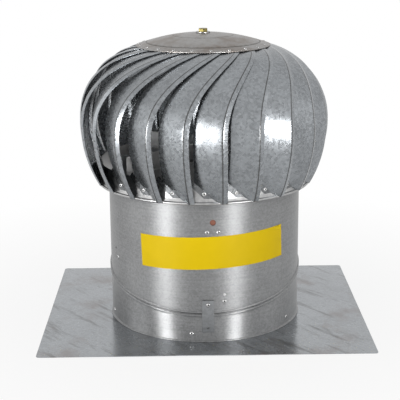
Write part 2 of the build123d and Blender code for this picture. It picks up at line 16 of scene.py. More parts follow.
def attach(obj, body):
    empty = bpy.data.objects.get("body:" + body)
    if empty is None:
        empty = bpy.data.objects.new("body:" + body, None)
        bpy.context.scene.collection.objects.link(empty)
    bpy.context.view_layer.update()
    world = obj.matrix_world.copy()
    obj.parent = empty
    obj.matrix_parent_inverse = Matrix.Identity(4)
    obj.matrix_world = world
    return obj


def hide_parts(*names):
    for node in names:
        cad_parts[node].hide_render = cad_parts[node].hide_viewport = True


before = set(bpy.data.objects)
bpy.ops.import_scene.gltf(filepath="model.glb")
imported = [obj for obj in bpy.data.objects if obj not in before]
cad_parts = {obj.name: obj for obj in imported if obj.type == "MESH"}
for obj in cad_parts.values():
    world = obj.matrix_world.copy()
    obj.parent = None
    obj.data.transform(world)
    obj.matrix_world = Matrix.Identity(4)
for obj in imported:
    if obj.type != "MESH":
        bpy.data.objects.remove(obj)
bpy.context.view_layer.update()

# %% [markdown]
# ## Directions
#
# Nearly every piece goes round the duct's axis, so two unit vectors place them all: one points away
# from the axis, one points along the circle. Azimuth 0 is the front, and grows towards +X.

# %% Directions round the axis
MM = 0.001
UP = Vector((0, 0, 1))


def outward(azimuth):
    return Vector((sin(radians(azimuth)), -cos(radians(azimuth)), 0))


def around(azimuth):
    return Vector((cos(radians(azimuth)), sin(radians(azimuth)), 0))


def level_point(azimuth, radius, height):
    """A point by azimuth, distance from the axis and height."""
    return outward(azimuth) * radius + UP * height


print("front", tuple(outward(0)), "right", tuple(outward(90)))

# %% [markdown]
# ## Making a mesh piece
#
# A sheet-metal piece is a skin stretched over rings of points. Blender's modifiers could bend a flat
# sheet instead, but rings follow the real formulas of rolled tubes and folded vanes exactly. Folds
# stay crisp because edges steeper than a given angle are marked sharp; the rest is shaded smooth.

# %% Skins and pieces
def skin(rings, closed=False):
    """Points and faces over rings that all have the same number of points."""
    size = len(rings[0])
    spans = len(rings) if closed else len(rings) - 1
    points = [point for ring in rings for point in ring]
    faces = []
    for i in range(spans):
        here, there = i * size, (i + 1) % len(rings) * size
        for k in range(size):
            after = (k + 1) % size
            faces.append((here + k, here + after, there + after, there + k))
    return points, faces


def capped(rings):
    """A skin with a flat face over its first and its last ring."""
    points, faces = skin(rings)
    size, last = len(rings[0]), len(points) - len(rings[0])
    return points, faces + [tuple(range(size - 1, -1, -1)), tuple(range(last, last + size))]


def mesh_of(name, points, faces, fold=35):
    """A mesh in metres, its faces turned outward and its folds sharp."""
    mesh = bpy.data.meshes.new(name)
    mesh.from_pydata([tuple(point * MM) for point in points], [], faces)
    work = bmesh.new()
    work.from_mesh(mesh)
    bmesh.ops.recalc_face_normals(work, faces=work.faces)
    work.to_mesh(mesh)
    work.free()
    mesh.shade_smooth()
    mesh.set_sharp_from_angle(angle=radians(fold))
    return mesh


def note(mesh, name, vectors):
    """Write a vector on each point of a mesh, for its finish to read."""
    attribute = mesh.attributes.new(name, "FLOAT_VECTOR", "POINT")
    for item, vector in zip(attribute.data, vectors):
        item.vector = vector


def piece(mesh, body, finish, *stands_for):
    """Show a mesh on a body, with a finish, in place of the plain CAD nodes it stands for."""
    if not mesh.materials:
        mesh.materials.append(finish.material)
    made = bpy.data.objects.new(mesh.name, mesh)
    bpy.context.scene.collection.objects.link(made)
    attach(made, body)
    if stands_for:
        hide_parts(*stands_for)


print("one millimetre is", MM, "of Blender's metres")

# %% [markdown]
# ## Writing shaders as sums
#
# A finish is a small program that says how light leaves a surface. It could be wired by hand, one
# node at a time, but long sums become unreadable. Here a thin wrapper round a socket lets the maths
# read as ordinary Python, and one method makes any other node.

# %% A wire and a node tree
class Wire:
    """A node's output, ready for Python sums."""

    def __init__(self, nodes, socket):
        self.nodes, self.socket = nodes, socket

    def maths(self, operation, first, second):
        return self.nodes.node("ShaderNodeMath", {"operation": operation}, {0: first, 1: second})

    def __add__(self, other):
        return self.maths("ADD", self, other)

    __radd__ = __add__

    def __sub__(self, other):
        return self.maths("SUBTRACT", self, other)

    def __rsub__(self, other):
        return self.maths("SUBTRACT", other, self)

    def __mul__(self, other):
        return self.maths("MULTIPLY", self, other)

    __rmul__ = __mul__

    def __abs__(self):
        return self.nodes.node("ShaderNodeMath", {"operation": "ABSOLUTE"}, {0: self})


class Nodes:
    """A node tree that is written from Python."""

    def __init__(self, tree):
        self.tree = tree

    def connect(self, value, socket):
        if isinstance(value, Wire):
            self.tree.links.new(value.socket, socket)
        else:
            socket.default_value = value

    def node(self, kind, settings={}, sockets={}, output=0):
        made = self.tree.nodes.new(kind)
        for key, value in settings.items():
            setattr(made, key, value)
        for key, value in sockets.items():
            self.connect(value, made.inputs[key])
        return Wire(self, made.outputs[output])

    def vector(self, operation, *values, output=0):
        return self.node("ShaderNodeVectorMath", {"operation": operation}, dict(enumerate(values)), output)


print("wires can be added, subtracted and multiplied")

# %% [markdown]
# Every finish here is one Principled shader. A metal, a paint and a film differ only in what goes into
# its sockets, so one class serves them all: it holds the shader, the colour laid on so far, and a few
# short methods for the textures that the finishes share.

# %% A finish for one material slot
class Finish(Nodes):
    """A material for one of the record's slots; constants go straight on its shader."""

    def __init__(self, name, slot, **constants):
        self.material = bpy.data.materials.new(name)
        self.material.use_nodes = True
        super().__init__(self.material.node_tree)
        self.slot = slot
        self.shader = self.tree.nodes["Principled BSDF"]
        for socket, value in constants.items():
            self.feed(socket.replace("_", " "), value)

    def feed(self, socket, value):
        self.connect(value, self.shader.inputs[socket])

    def place(self):
        return self.node("ShaderNodeTexCoord", output="Object")

    def stretched(self, place, scale):
        return self.vector("MULTIPLY", place, scale)

    def parts(self, vector):
        split = self.node("ShaderNodeSeparateXYZ", {}, {0: vector})
        return [Wire(self, socket) for socket in split.socket.node.outputs]

    def cloud(self, place, scale, detail=3.0, rough=0.5):
        return self.node(
            "ShaderNodeTexNoise", {}, {"Vector": place, "Scale": scale, "Detail": detail, "Roughness": rough}
        )

    def stepped(self, value, low, high):
        return self.node("ShaderNodeMapRange", {}, {"Value": value, "From Min": low, "From Max": high})

    def blend(self, share, first, second):
        return self.node("ShaderNodeMix", {"data_type": "RGBA"}, {0: share, 6: first, 7: second}, output=2)

    def bump(self, height, distance, **more):
        """Shade the surface as if it rose by the height times a distance in metres."""
        self.feed("Normal", self.node("ShaderNodeBump", {}, {"Height": height, "Distance": distance, **more}))

    def paint(self, colour):
        self.colour = colour
        self.feed("Base Color", colour)

    def mark(self, share, colour):
        """Lay another colour over the one painted so far."""
        self.paint(self.blend(share, self.colour, colour))


print("a finish can", [name for name in vars(Finish) if name[0] != "_"])

# %% [markdown]
# ## Zinc
#
# Sheet steel is dipped in molten zinc, which freezes on it into crystals, the spangle. Each crystal is
# flat and tips its own way, so it catches light apart from its neighbours. An image of spangle could be
# wrapped on, but cells from a Voronoi texture never repeat: every cell tips the normal a little and
# takes its own grey and gloss. Slow clouds of oxide dull the whole. The rolled tubes also keep fine
# lines round them, so an anisotropic shader draws their highlights out along the height.

# %% The zinc recipe
def grey(level, warmth=0.0):
    """A metal grey; warmth above 0 leans it to brown, below 0 to blue."""
    return (level * (1 + warmth), level, level * (1 - warmth), 1)


def zinc(name, slot, dark, pale, crystal=3.0, tip=0.03, gloss=0.3, haze=0.1, dents=0.0, warmth=0.0,
         brush=0.0, bright=1.0, **constants):
    """Galvanised sheet: crystal is a cell's width in millimetres, tip how far its normal leans."""
    finish = Finish(name, slot, Metallic=bright, **constants)
    place = finish.place()
    wander = finish.node("ShaderNodeTexNoise", {}, {"Vector": place, "Scale": 260.0}, "Color")
    bent = finish.vector("MULTIPLY_ADD", wander, (0.4 * crystal * MM,) * 3, place)
    cells = finish.node("ShaderNodeTexVoronoi", {}, {"Vector": bent, "Scale": 1 / crystal / MM}, "Color")
    tone = finish.node("ShaderNodeSeparateColor", {}, {0: cells}, "Red")
    oxide = finish.cloud(place, scale=9.0, detail=6.0, rough=0.6)
    fine = finish.cloud(place, scale=420.0, detail=2.0)
    streaks = finish.cloud(finish.stretched(place, (9.0, 9.0, 700.0)), scale=1.0)
    share = tone * 0.3 + oxide * 0.7 + fine * 0.15 + streaks * brush - 0.12 - brush * 0.5
    finish.paint(finish.blend(share, grey(dark, warmth), grey(pale, warmth)))
    finish.feed("Roughness", oxide * haze + tone * (haze * 0.7) + streaks * (brush * 0.2) + gloss)
    lean = finish.vector("SUBTRACT", cells, (0.5, 0.5, 0.5))
    facing = finish.node("ShaderNodeNewGeometry", output="Normal")
    tipped = finish.vector("MULTIPLY_ADD", lean, (tip,) * 3, facing)
    swell = finish.cloud(place, scale=14.0, detail=2.0)
    finish.bump(swell * dents + fine * 0.004, distance=0.001, Normal=tipped)
    return finish


rotor_zinc = zinc("rotor_zinc", "rotor_sheet", 0.13, 0.42, tip=0.02, gloss=0.2, dents=1.0,
                  warmth=-0.05, bright=0.9)
ring_zinc = zinc("ring_zinc", "rotor_sheet", 0.24, 0.50, gloss=0.26, dents=0.3)
throat_zinc = zinc("throat_zinc", "throat_sheet", 0.16, 0.42, crystal=2.5, tip=0.006, gloss=0.3, dents=0.4,
                   warmth=-0.01, brush=0.5, Anisotropic=0.92, Anisotropic_Rotation=0.25)
upper_zinc = zinc("upper_zinc", "throat_sheet", 0.18, 0.44, crystal=2.5, tip=0.006, gloss=0.4, dents=0.4,
                  warmth=-0.01, brush=0.5, Anisotropic=0.85, Anisotropic_Rotation=0.25)
strap_zinc = zinc("strap_zinc", "throat_sheet", 0.16, 0.30, gloss=0.32, warmth=-0.03)
plate_zinc = zinc("plate_zinc", "plate_sheet", 0.27, 0.48, tip=0.012, gloss=0.1, haze=0.1, dents=0.4,
                  warmth=-0.05, bright=0.65)
dome_zinc = zinc("dome_zinc", "dome_sheet", 0.19, 0.38, tip=0.012, gloss=0.36, warmth=0.02)
brace_zinc = zinc("brace_zinc", "brace_sheet", 0.36, 0.60, crystal=4.0, gloss=0.38)
print("zinc finishes:", [item.name for item in bpy.data.materials if item.name.endswith("_zinc")])

# %% [markdown]
# Use and handling leave marks on top of the spangle, and light and shade are painted on the same way. A
# folded strip has painted shade along its crease and a painted highlight, a pale line, along its raw edge,
# and the flap at its foot is darkened with painted shade, as it lies under the vane. The plate has diagonal
# scuffs and brown smudges from hands and roof; the cap has the same brown bloom, and painted shade in its
# two turned grooves. Marks could be painted by hand on an image, but here each is worked out from a place:
# on a vane, from three numbers that its mesh carries (distance along the strip measured from the
# crease, distance from the raw edge, and 1 on the strip or 0 on the flap).

# %% Painted shade and highlight, scuffs and smudges
# The first colour is painted shade, for the vanes' creases and the cap's grooves; the other two are real
# bloom and smudges.
PAINTED_SHADE, BLOOM, SMUDGE = (0.035, 0.032, 0.028, 1), (0.15, 0.115, 0.09, 1), (0.20, 0.165, 0.155, 1)
crease_mark = 100.0  # added to the distance from the crease, so that a flap's 0 lies far from it
cap_grooves = ((87.0, 0.7), (46.0, 0.4))  # radius, and how dark the painted shade in it is
scuff_turn = 0.9

strip = rotor_zinc.node("ShaderNodeAttribute", {"attribute_name": "strip"}, output="Vector")
crease_gap, edge_gap, on_strip = rotor_zinc.parts(strip)
crease_shade = rotor_zinc.stepped(abs(crease_gap - crease_mark), 1.3, 0.5)
# Painted shade: a dark line along the fold of each strip.
rotor_zinc.mark(crease_shade * on_strip * 0.8, PAINTED_SHADE)
# Painted highlight: a pale line along the raw edge of each strip's curl.
rotor_zinc.mark(rotor_zinc.stepped(edge_gap, 1.6, 0.8) * on_strip * 0.6, grey(0.6))
# Painted shade: the flap, which lies under the vane's foot, is darkened.
rotor_zinc.mark((1 - on_strip) * 0.6, grey(0.08))

bare = plate_zinc.place()
slanted = plate_zinc.node(
    "ShaderNodeVectorRotate", {"rotation_type": "Z_AXIS"}, {"Vector": bare, "Angle": scuff_turn}
)
scuffs = plate_zinc.cloud(plate_zinc.stretched(slanted, (7.0, 45.0, 7.0)), scale=1.0, detail=7.0, rough=0.65)
plate_zinc.mark(plate_zinc.stepped(scuffs, 0.54, 0.66) * 0.75, grey(0.12))
smudges = plate_zinc.cloud(bare, scale=13.0, detail=5.0, rough=0.6)
plate_zinc.mark(plate_zinc.stepped(smudges, 0.53, 0.68) * 0.5, SMUDGE)

bare = dome_zinc.place()
flat_place = dome_zinc.stretched(bare, (1.0, 1.0, 0.0))
from_axis = dome_zinc.vector("LENGTH", flat_place, output="Value")
bloom = dome_zinc.cloud(bare, scale=26.0, detail=6.0, rough=0.65)
dome_zinc.mark(dome_zinc.stepped(bloom, 0.46, 0.66) * 0.7, BLOOM)
# Painted shade darkens each of the cap's two turned grooves.
for groove, strength in cap_grooves:
    groove_shade = dome_zinc.stepped(abs(from_axis - groove * MM), 1.6 * MM, 0.6 * MM)
    dome_zinc.mark(groove_shade * strength, PAINTED_SHADE)
print("marks laid on the vanes, the plate and the cap")

# %% [markdown]
# ## The other finishes
#
# The primer is matt, and mottled where the dip left it thick. The yellow plating of screws is a thin
# layer that drifts between straw and olive. Drawn and turned steel, bronze and rivets differ in tone
# and gloss. Each could be one flat colour, but then a piece looks like plastic, so all share a recipe
# that lets colour, gloss and a faint relief drift together.

# %% Primer, plating, steel and bronze
def mottled(name, slot, dark, pale, rough, spread=60.0, relief=0.1, **constants):
    """A colour that drifts between two tones, with gloss and relief that follow it."""
    finish = Finish(name, slot, **constants)
    place = finish.place()
    drift = finish.cloud(place, spread, detail=5.0, rough=0.6)
    grain = finish.cloud(place, spread * 12, detail=2.0)
    finish.feed("Base Color", finish.blend(finish.stepped(drift, 0.3, 0.7), dark, pale))
    finish.feed("Roughness", drift * 0.2 + (rough - 0.1))
    finish.bump(grain * relief + drift * relief, distance=0.0002)
    return finish


primer = mottled("primer", "primed_steel", (0.13, 0.045, 0.028, 1), (0.24, 0.085, 0.05, 1), 0.6)
plating = mottled("yellow_plating", "plated_steel", (0.09, 0.075, 0.025, 1), (0.24, 0.20, 0.07, 1), 0.36,
                  spread=160.0, Metallic=1.0)
washer_plating = mottled("pale_plating", "plated_steel", grey(0.20, 0.03), grey(0.34, 0.02), 0.35,
                         spread=160.0, Metallic=1.0)
bright_steel = mottled("drawn_steel", "bright_steel", grey(0.42), grey(0.56), 0.25, spread=90.0, Metallic=1.0)
turned_steel = mottled("turned_steel", "hub_steel", grey(0.25), grey(0.38), 0.35, spread=90.0, relief=0.2,
                       Metallic=1.0)
bronze = mottled("bush_bronze", "bush_bronze", (0.26, 0.15, 0.06, 1), (0.40, 0.25, 0.10, 1), 0.38,
                 spread=90.0, Metallic=1.0)
rivet_metal = mottled("rivet_metal", "rivets", grey(0.34), grey(0.56), 0.3, spread=200.0, Metallic=1.0)
print("mottled finishes ready")

# %% [markdown]
# ## Studio
#
# The part stands on a plain pale floor in a white surround. More light would also make the background
# white, but it would wash out the part. So the floor and the surround are white only to rays that come
# from the camera or from a reflection, and are weaker as lamps, which keeps the part's own colours and
# the floor's shadow.

# %% Floor and surround
def light_path(nodes):
    """1 for rays that see or mirror the surround, 0 for rays that are lit by it."""
    path = nodes.node("ShaderNodeLightPath")
    outputs = path.socket.node.outputs
    seen = Wire(nodes, outputs["Is Camera Ray"]) + Wire(nodes, outputs["Is Glossy Ray"])
    return seen + Wire(nodes, outputs["Is Transmission Ray"])


world = bpy.data.worlds.new("white_surround")
world.use_nodes = True
bpy.context.scene.world = world
sky = Nodes(world.node_tree)
backdrop = world.node_tree.nodes["Background"]
backdrop.inputs["Color"].default_value = (1, 1, 1, 1)
lamp_level = 0.45
sky.connect(light_path(sky) * (1 - lamp_level) + lamp_level, backdrop.inputs["Strength"])

floor_reach, floor_drop = 30000, 0.0003
corners = [Vector((x, y, 0)) * floor_reach for x, y in ((-1, -1), (1, -1), (1, 1), (-1, 1))]
floor_mesh = mesh_of("floor", corners, [(0, 1, 2, 3)])
floor = bpy.data.objects.new("floor", floor_mesh)
bpy.context.scene.collection.objects.link(floor)
floor.location.z = -floor_drop
floor_finish = Finish("floor_white", "", Roughness=1.0, Specular_IOR_Level=0.0)
floor_finish.feed("Base Color", (0.9, 0.9, 0.9, 1))
white = floor_finish.node("ShaderNodeEmission")
far = floor_finish.vector("LENGTH", floor_finish.place(), output="Value")
near_white, fade_start, fade_end = 0.86, 0.25, 0.75
share = floor_finish.stepped(far, fade_start, fade_end) * (1 - near_white) + near_white
lit = Wire(floor_finish, floor_finish.shader.outputs[0])
mixed = floor_finish.node("ShaderNodeMixShader", {}, {0: light_path(floor_finish) * share, 1: lit, 2: white})
floor_finish.connect(mixed, floor_finish.tree.nodes["Material Output"].inputs["Surface"])
floor_mesh.materials.append(floor_finish.material)
print("surround lights the part at", lamp_level, "of the white it shows")

# %% [markdown]
# Polished sheet shows little but what it mirrors, so the lamps are shaped for their reflections: two
# tall soft boxes lay two bright bands down the round walls. A plain area lamp would light the floor and
# the plate too, and turn them white, so these two are narrowed to a beam, as by a grid on a real one. Two
# weak, wide fills stand further round. The camera is about 1.6 m away and looks 15 degrees down, with
# hardly any yaw and roll.

# %% Lamps and camera
box_height, box_middle = 1.6, 0.82


def soft_box(name, azimuth, distance, width, brightness, grid=90):
    """An upright lamp; brightness 1 is as bright as the white surround, grid its reach in degrees."""
    lamp = bpy.data.lights.new(name, "AREA")
    lamp.shape, lamp.size, lamp.size_y, lamp.spread = "RECTANGLE", width, box_height, radians(2 * grid)
    narrowed = tan(radians(grid)) / (tan(radians(grid)) - radians(grid)) if grid < 90 else 1
    lamp.energy = brightness / narrowed * pi * width * box_height
    holder = bpy.data.objects.new(name, lamp)
    holder.location = level_point(azimuth, distance, box_middle)
    holder.rotation_euler = outward(azimuth + 180).to_track_quat("-Z", "Y").to_euler()
    bpy.context.scene.collection.objects.link(holder)


soft_box("left_box", -45, 2.0, 0.55, 50.0, grid=15)
soft_box("right_box", 33, 2.3, 0.42, 55.0, grid=15)
soft_box("left_fill", -85, 2.4, 1.2, 1.0)
soft_box("right_fill", 80, 2.4, 1.2, 0.4)

camera_place, sensor_width, focal_ratio = Vector((-0.0271, -1.618, 0.618)), 36, 1051 / 400
yaw, pitch, roll = 0.01264, radians(15.10), -0.00783
ahead = Vector((sin(yaw), cos(yaw), 0))
side = Vector((cos(yaw), -sin(yaw), 0))
sight = ahead * cos(pitch) - UP * sin(pitch)
top = ahead * sin(pitch) + UP * cos(pitch)
right = side * cos(roll) + top * sin(roll)
top = top * cos(roll) - side * sin(roll)
camera = bpy.data.objects.new("camera", bpy.data.cameras.new("camera"))
camera.data.lens, camera.data.sensor_width = focal_ratio * sensor_width, sensor_width
turn = Matrix((right, top, -sight)).transposed()
camera.matrix_world = Matrix.Translation(camera_place) @ turn.to_4x4()
bpy.context.scene.collection.objects.link(camera)
bpy.context.scene.camera = camera
bpy.context.scene.view_settings.view_transform = "Standard"
print("lens", round(camera.data.lens, 1), "mm")

# %% [markdown]
# ## Flashing plate
#
# The plate is cut from thin sheet and sealed to the roof. A dead-flat quad would look like card, so
# the skin runs in rings from the round opening out to the rounded rectangle and rises and falls by a
# few tenths of a millimetre, as real sheet does. The edge follows the rectangle's outline exactly.

# %% The plate's outline and skin
plate_top, plate_corner, opening_radius = 1.0, 5.0, 147.9
half_x, half_y = 250.0, 200.0
corner_steps, rim_step, plate_rings = 8, 9, 16


def plate_edge():
    """Points round the plate's rim, with finer steps in its corners."""
    points = []
    for quarter, (sx, sy) in enumerate(((1, -1), (1, 1), (-1, 1), (-1, -1))):
        centre = Vector((sx * (half_x - plate_corner), sy * (half_y - plate_corner), 0))
        for i in range(corner_steps + 1):
            turn = radians(-90 + 90 * quarter + 90 * i / corner_steps)
            points.append(centre + Vector((cos(turn), sin(turn), 0)) * plate_corner)
    rim = []
    for here, there in zip(points, points[1:] + points[:1]):
        steps = max(1, round((there - here).length / rim_step))
        rim += [here.lerp(there, i / steps) for i in range(steps)]
    return rim


def sheet_wave(point):
    """How far the sheet lifts at a point, in millimetres."""
    return 0.35 * (1 + noise.noise(point * 0.011)) + 0.12 * (1 + noise.noise(point * 0.04))


rim = plate_edge()
above, below = [], []
for i in range(plate_rings + 1):
    share = i / plate_rings
    ring = [(point.normalized() * opening_radius).lerp(point, share) for point in rim]
    wave = [sheet_wave(p) * min(1, share * 6) for p in ring]
    above.append([p + UP * (plate_top + w) for p, w in zip(ring, wave)])
    below.append([p + UP * w for p, w in zip(ring, wave)])
plate_mesh = mesh_of("flashing_plate", *skin(above + below[::-1], closed=True), fold=50)
piece(plate_mesh, "base", plate_zinc, "base_plate")
print("plate points", len(plate_mesh.vertices))

# %% [markdown]
# ## Throat
#
# The duct is two rolled tubes that meet on a slanted seam, so that turning one on the other tips the
# top to suit the roof's pitch. Each wall is a ruled surface: straight lines join a level circle to a
# tilted one. A cylinder cut at a slant would leave the seam elliptical, and it could not turn.

# %% The seam and the two walls
throat_radius, throat_sheet = 150.0, 0.8
seam_centre, seam_tilt = Vector((0, 0, 82.8)), radians(15)
seam_normal = Vector((0, -sin(seam_tilt), cos(seam_tilt)))
seam_across = Vector((0, cos(seam_tilt), sin(seam_tilt)))
lower_collar, upper_collar, straight_start = 6.6, 6.0, 210.2
half_gap, nest = 0.25, 0.85


def seam_point(azimuth, radius, rise):
    """A point by azimuth, radius and rise about the seam's own axis."""
    level = Vector((sin(radians(azimuth)), 0, 0)) - seam_across * cos(radians(azimuth))
    return seam_centre + level * radius + seam_normal * rise


def lower_wall(azimuth, share, radius=throat_radius):
    return level_point(azimuth, radius, plate_top).lerp(seam_point(azimuth, radius, -lower_collar), share)


def upper_wall(azimuth, share, radius=throat_radius):
    return seam_point(azimuth, radius, upper_collar).lerp(level_point(azimuth, radius, straight_start), share)


def ring_of(point_at, *place, count=192):
    return [point_at(360 * k / count, *place) for k in range(count)]


def bead(start, end, radius, height=2.0, steps=8):
    """A rolled bead: radius and rise of the points over it."""
    return [
        (radius + height * sin(pi * i / steps) ** 0.6, start + (end - start) * i / steps)
        for i in range(steps + 1)
    ]


print("seam leans", round(degrees(seam_tilt)), "degrees")

# %% [markdown]
# The lower tube stands on the plate with a small hem turned out at its foot, and has a rolled bead under
# the seam that stiffens it. A hem or a bead could be swept along the rim as a wire of its own, but on the
# real tube it is the same sheet, so it is a few more rings of the one skin.

# %% Lower tube
wall_steps = 20
collar = [(throat_radius, -lower_collar)] + bead(-5.6, -1.2, throat_radius) + [(throat_radius, -half_gap)]
foot_hem = [(151.4, 1.0), (151.9, 1.6), (151.7, 2.4), (150.5, 3.2)]
outer = [ring_of(level_point, *place) for place in foot_hem]
outer += [ring_of(lower_wall, i / wall_steps) for i in range(1, wall_steps)]
outer += [ring_of(seam_point, radius, rise) for radius, rise in collar]
inner = [ring_of(lower_wall, i / wall_steps, throat_radius - throat_sheet) for i in range(wall_steps)]
inner += [ring_of(seam_point, radius - throat_sheet, rise) for radius, rise in collar]
lower_mesh = mesh_of("lower_tube", *skin(outer + inner[::-1], closed=True))
piece(lower_mesh, "base", throat_zinc, "lower_throat")
print("lower tube points", len(lower_mesh.vertices))

# %% [markdown]
# The upper tube has a lip that nests inside the lower one, a bead above the seam and a rolled hem at
# its rim. It could share the lower tube's mesh, but the two turn on each other, so it is a skin of its own.

# %% Upper tube
lip, climb_steps = throat_radius - throat_sheet - 0.5, 30
collar = [(lip, -nest), (lip, half_gap)] + bead(1.2, 4.2, throat_radius) + [(throat_radius, upper_collar)]
hem = [(150.0, 211.0), (151.2, 211.1), (151.9, 211.7), (152.0, 213.5), (151.9, 215.4), (151.2, 216.1)]
hem.append((150.4, 216.2))
climb = [(i + 1) / climb_steps for i in range(climb_steps)]
outer = [ring_of(seam_point, radius, rise) for radius, rise in collar]
outer += [ring_of(upper_wall, share) for share in climb]
outer += [ring_of(level_point, *place) for place in hem]
inner = [ring_of(seam_point, radius - throat_sheet, rise) for radius, rise in collar]
inner += [ring_of(upper_wall, share, throat_radius - throat_sheet) for share in climb]
inner += [ring_of(level_point, throat_radius - throat_sheet, height) for height in (213.0, 216.0)]
upper_mesh = mesh_of("upper_tube", *skin(outer + inner[::-1], closed=True))
print("upper tube points", len(upper_mesh.vertices))

# %% [markdown]
# The tube is drilled with one access hole for the bracket, and one spare hole above each seam clip. A
# dark disc would do from far off, but a hole has an edge and a depth, so short rods are taken out of the
# skin with a Boolean.

# %% Drilling
def circle(centre, axis, radius, lift, count):
    """A ring of points round an axis through a centre, lifted along the axis."""
    turn = axis.to_track_quat("Z", "Y").to_matrix()
    steps = [2 * pi * k / count for k in range(count)]
    return [centre + turn @ Vector((radius * cos(step), radius * sin(step), lift)) for step in steps]


def rod(centre, axis, radius, reach, count=32):
    """A round rod through a point, as a cutter."""
    return capped([circle(centre, axis, radius, lift, count) for lift in (-reach, reach)])


def cut(mesh, *cutters, fold=35):
    """The mesh with each cutter taken away."""
    body = bpy.data.objects.new("work", mesh)
    bpy.context.scene.collection.objects.link(body)
    tools = [bpy.data.objects.new("tool", mesh_of("tool", *cutter)) for cutter in cutters]
    for tool in tools:
        bpy.context.scene.collection.objects.link(tool)
        modifier = body.modifiers.new("cut", "BOOLEAN")
        modifier.object, modifier.operation, modifier.solver = tool, "DIFFERENCE", "EXACT"
    result = bpy.data.meshes.new_from_object(body.evaluated_get(bpy.context.evaluated_depsgraph_get()))
    for used in (body, *tools):
        bpy.data.objects.remove(used)
    result.name = mesh.name
    result.shade_smooth()
    result.set_sharp_from_angle(angle=radians(fold))
    return result


corrections = 6


def wall_from_seam(azimuth, rise):
    """The point of the upper wall at an azimuth and rise about the seam's axis."""
    ruling = azimuth
    for _ in range(corrections):
        span = (level_point(ruling, throat_radius, straight_start) - seam_centre).dot(seam_normal)
        point = upper_wall(ruling, max((rise - upper_collar) / (span - upper_collar), 0))
        level = point - seam_centre
        seen = degrees(asin(max(-1, min(1, level.x / throat_radius))))
        wanted = azimuth if abs(azimuth) <= 90 else (180 - abs(azimuth)) * (1 if azimuth > 0 else -1)
        ruling += (wanted - seen) * (1 if abs(azimuth) <= 90 else -1)
    return point


access_azimuth, access_height, access_radius = 3.8, 187.0, 4.5
spare_rise, spare_radius, drill_reach = 10.5, 1.8, 6
clip_places = ((10.5, 18.5), (-67.5, 42.0), (128.0, 20.0), (-150.0, 20.0))
access_point = level_point(access_azimuth, throat_radius, access_height)
drills = [rod(access_point, outward(access_azimuth), access_radius, drill_reach)]
for azimuth, rise in clip_places:
    spare_point = wall_from_seam(azimuth, rise + spare_rise)
    drills.append(rod(spare_point, outward(azimuth), spare_radius, drill_reach))
upper_mesh = cut(upper_mesh, *drills)
piece(upper_mesh, "throat", upper_zinc, "upper_throat")
print("holes drilled:", len(drills))

# %% [markdown]
# ## Label
#
# A band of yellow film is stuck on the upper tube, not quite level, and is left bare. A flat sheet
# could be wrapped on by a modifier, but the wall is a ruled surface, so the film's skin is laid on it
# point by point and bends just as the tube does.

# %% The film's finish
label_azimuth, label_tilt, label_middle = 5.0, radians(1.9), 140.6
label_length, label_height = 212.0, 50.0

film = Finish("yellow_film", "label", Specular_IOR_Level=0.15)
drift = film.cloud(film.place(), scale=40.0, detail=4.0)
film.feed("Base Color", film.blend(drift, (0.53, 0.37, 0.0, 1), (0.61, 0.43, 0.001, 1)))
film.feed("Roughness", drift * 0.2 + 0.3)
film.bump(film.cloud(film.place(), scale=30.0) * 0.6, distance=0.0004)
print("film covers", label_length * label_height / 100, "square centimetres")

# %% [markdown]
# A point of the film is known by how far it lies sideways and up on a flat plane in front of the tube.
# The wall isn't a true cylinder, so the azimuth that gives that sideways distance is found by trying,
# correcting and trying again.

# %% Laying the film on the wall
def on_wall(sideways, height, lift):
    """The point of the wall that a film point covers, by its place on a flat plane in front."""
    azimuth = label_azimuth + degrees(asin(sideways / throat_radius))
    for _ in range(corrections):
        low = upper_wall(azimuth, 0).z
        point = upper_wall(azimuth, (height - low) / (straight_start - low), throat_radius + lift)
        azimuth += degrees((sideways - point.dot(around(label_azimuth))) / throat_radius)
    return point


columns, rows = 72, 12
film_outside, film_inside = 0.45, 0.1
film_points = []
for lift in (film_outside, film_inside):
    for j in range(rows + 1):
        for i in range(columns + 1):
            x, y = (i / columns - 0.5) * label_length, (j / rows - 0.5) * label_height
            sideways = x * cos(label_tilt) - y * sin(label_tilt)
            height = label_middle + x * sin(label_tilt) + y * cos(label_tilt)
            film_points.append(on_wall(sideways, height, lift))
layer = (rows + 1) * (columns + 1)
quads = []
for j in range(rows):
    for i in range(columns):
        a = j * (columns + 1) + i
        quads += [(a, a + 1, a + columns + 2, a + columns + 1),
                  (a + layer + columns + 1, a + layer + columns + 2, a + layer + 1, a + layer)]
border = list(range(columns)) + [columns + j * (columns + 1) for j in range(rows)]
border += [layer - 1 - i for i in range(columns)] + [(rows - j) * (columns + 1) for j in range(rows)]
quads += [(b, a, a + layer, b + layer) for a, b in zip(border, border[1:] + border[:1])]
label_mesh = mesh_of("yellow_label", film_points, quads)
piece(label_mesh, "throat", film, "label_band")
print("label", label_length, "x", label_height, "mm")

# %% [markdown]
# ## Rivets
#
# Blind rivets hold every sheet. The CAD has a plain cone for each head; here each gets a low dome with
# the hole that the pulled mandrel leaves. The places could be typed in again, but they are measured
# from the CAD cones, so a head can't miss its sheet: the thin direction of a cone is its axis, and its
# broad end is its seat.

# %% Reading the seats
def islands(mesh):
    """Groups of points that hang together, in millimetres."""
    parent = {}

    def root(key):
        while parent.setdefault(key, key) != key:
            key = parent[key]
        return key

    spots = [tuple(round(c / MM, 3) for c in vertex.co) for vertex in mesh.vertices]
    for edge in mesh.edges:
        parent[root(spots[edge.vertices[0]])] = root(spots[edge.vertices[1]])
    groups = {}
    for spot in set(spots):
        groups.setdefault(root(spot), []).append(Vector(spot))
    return list(groups.values())


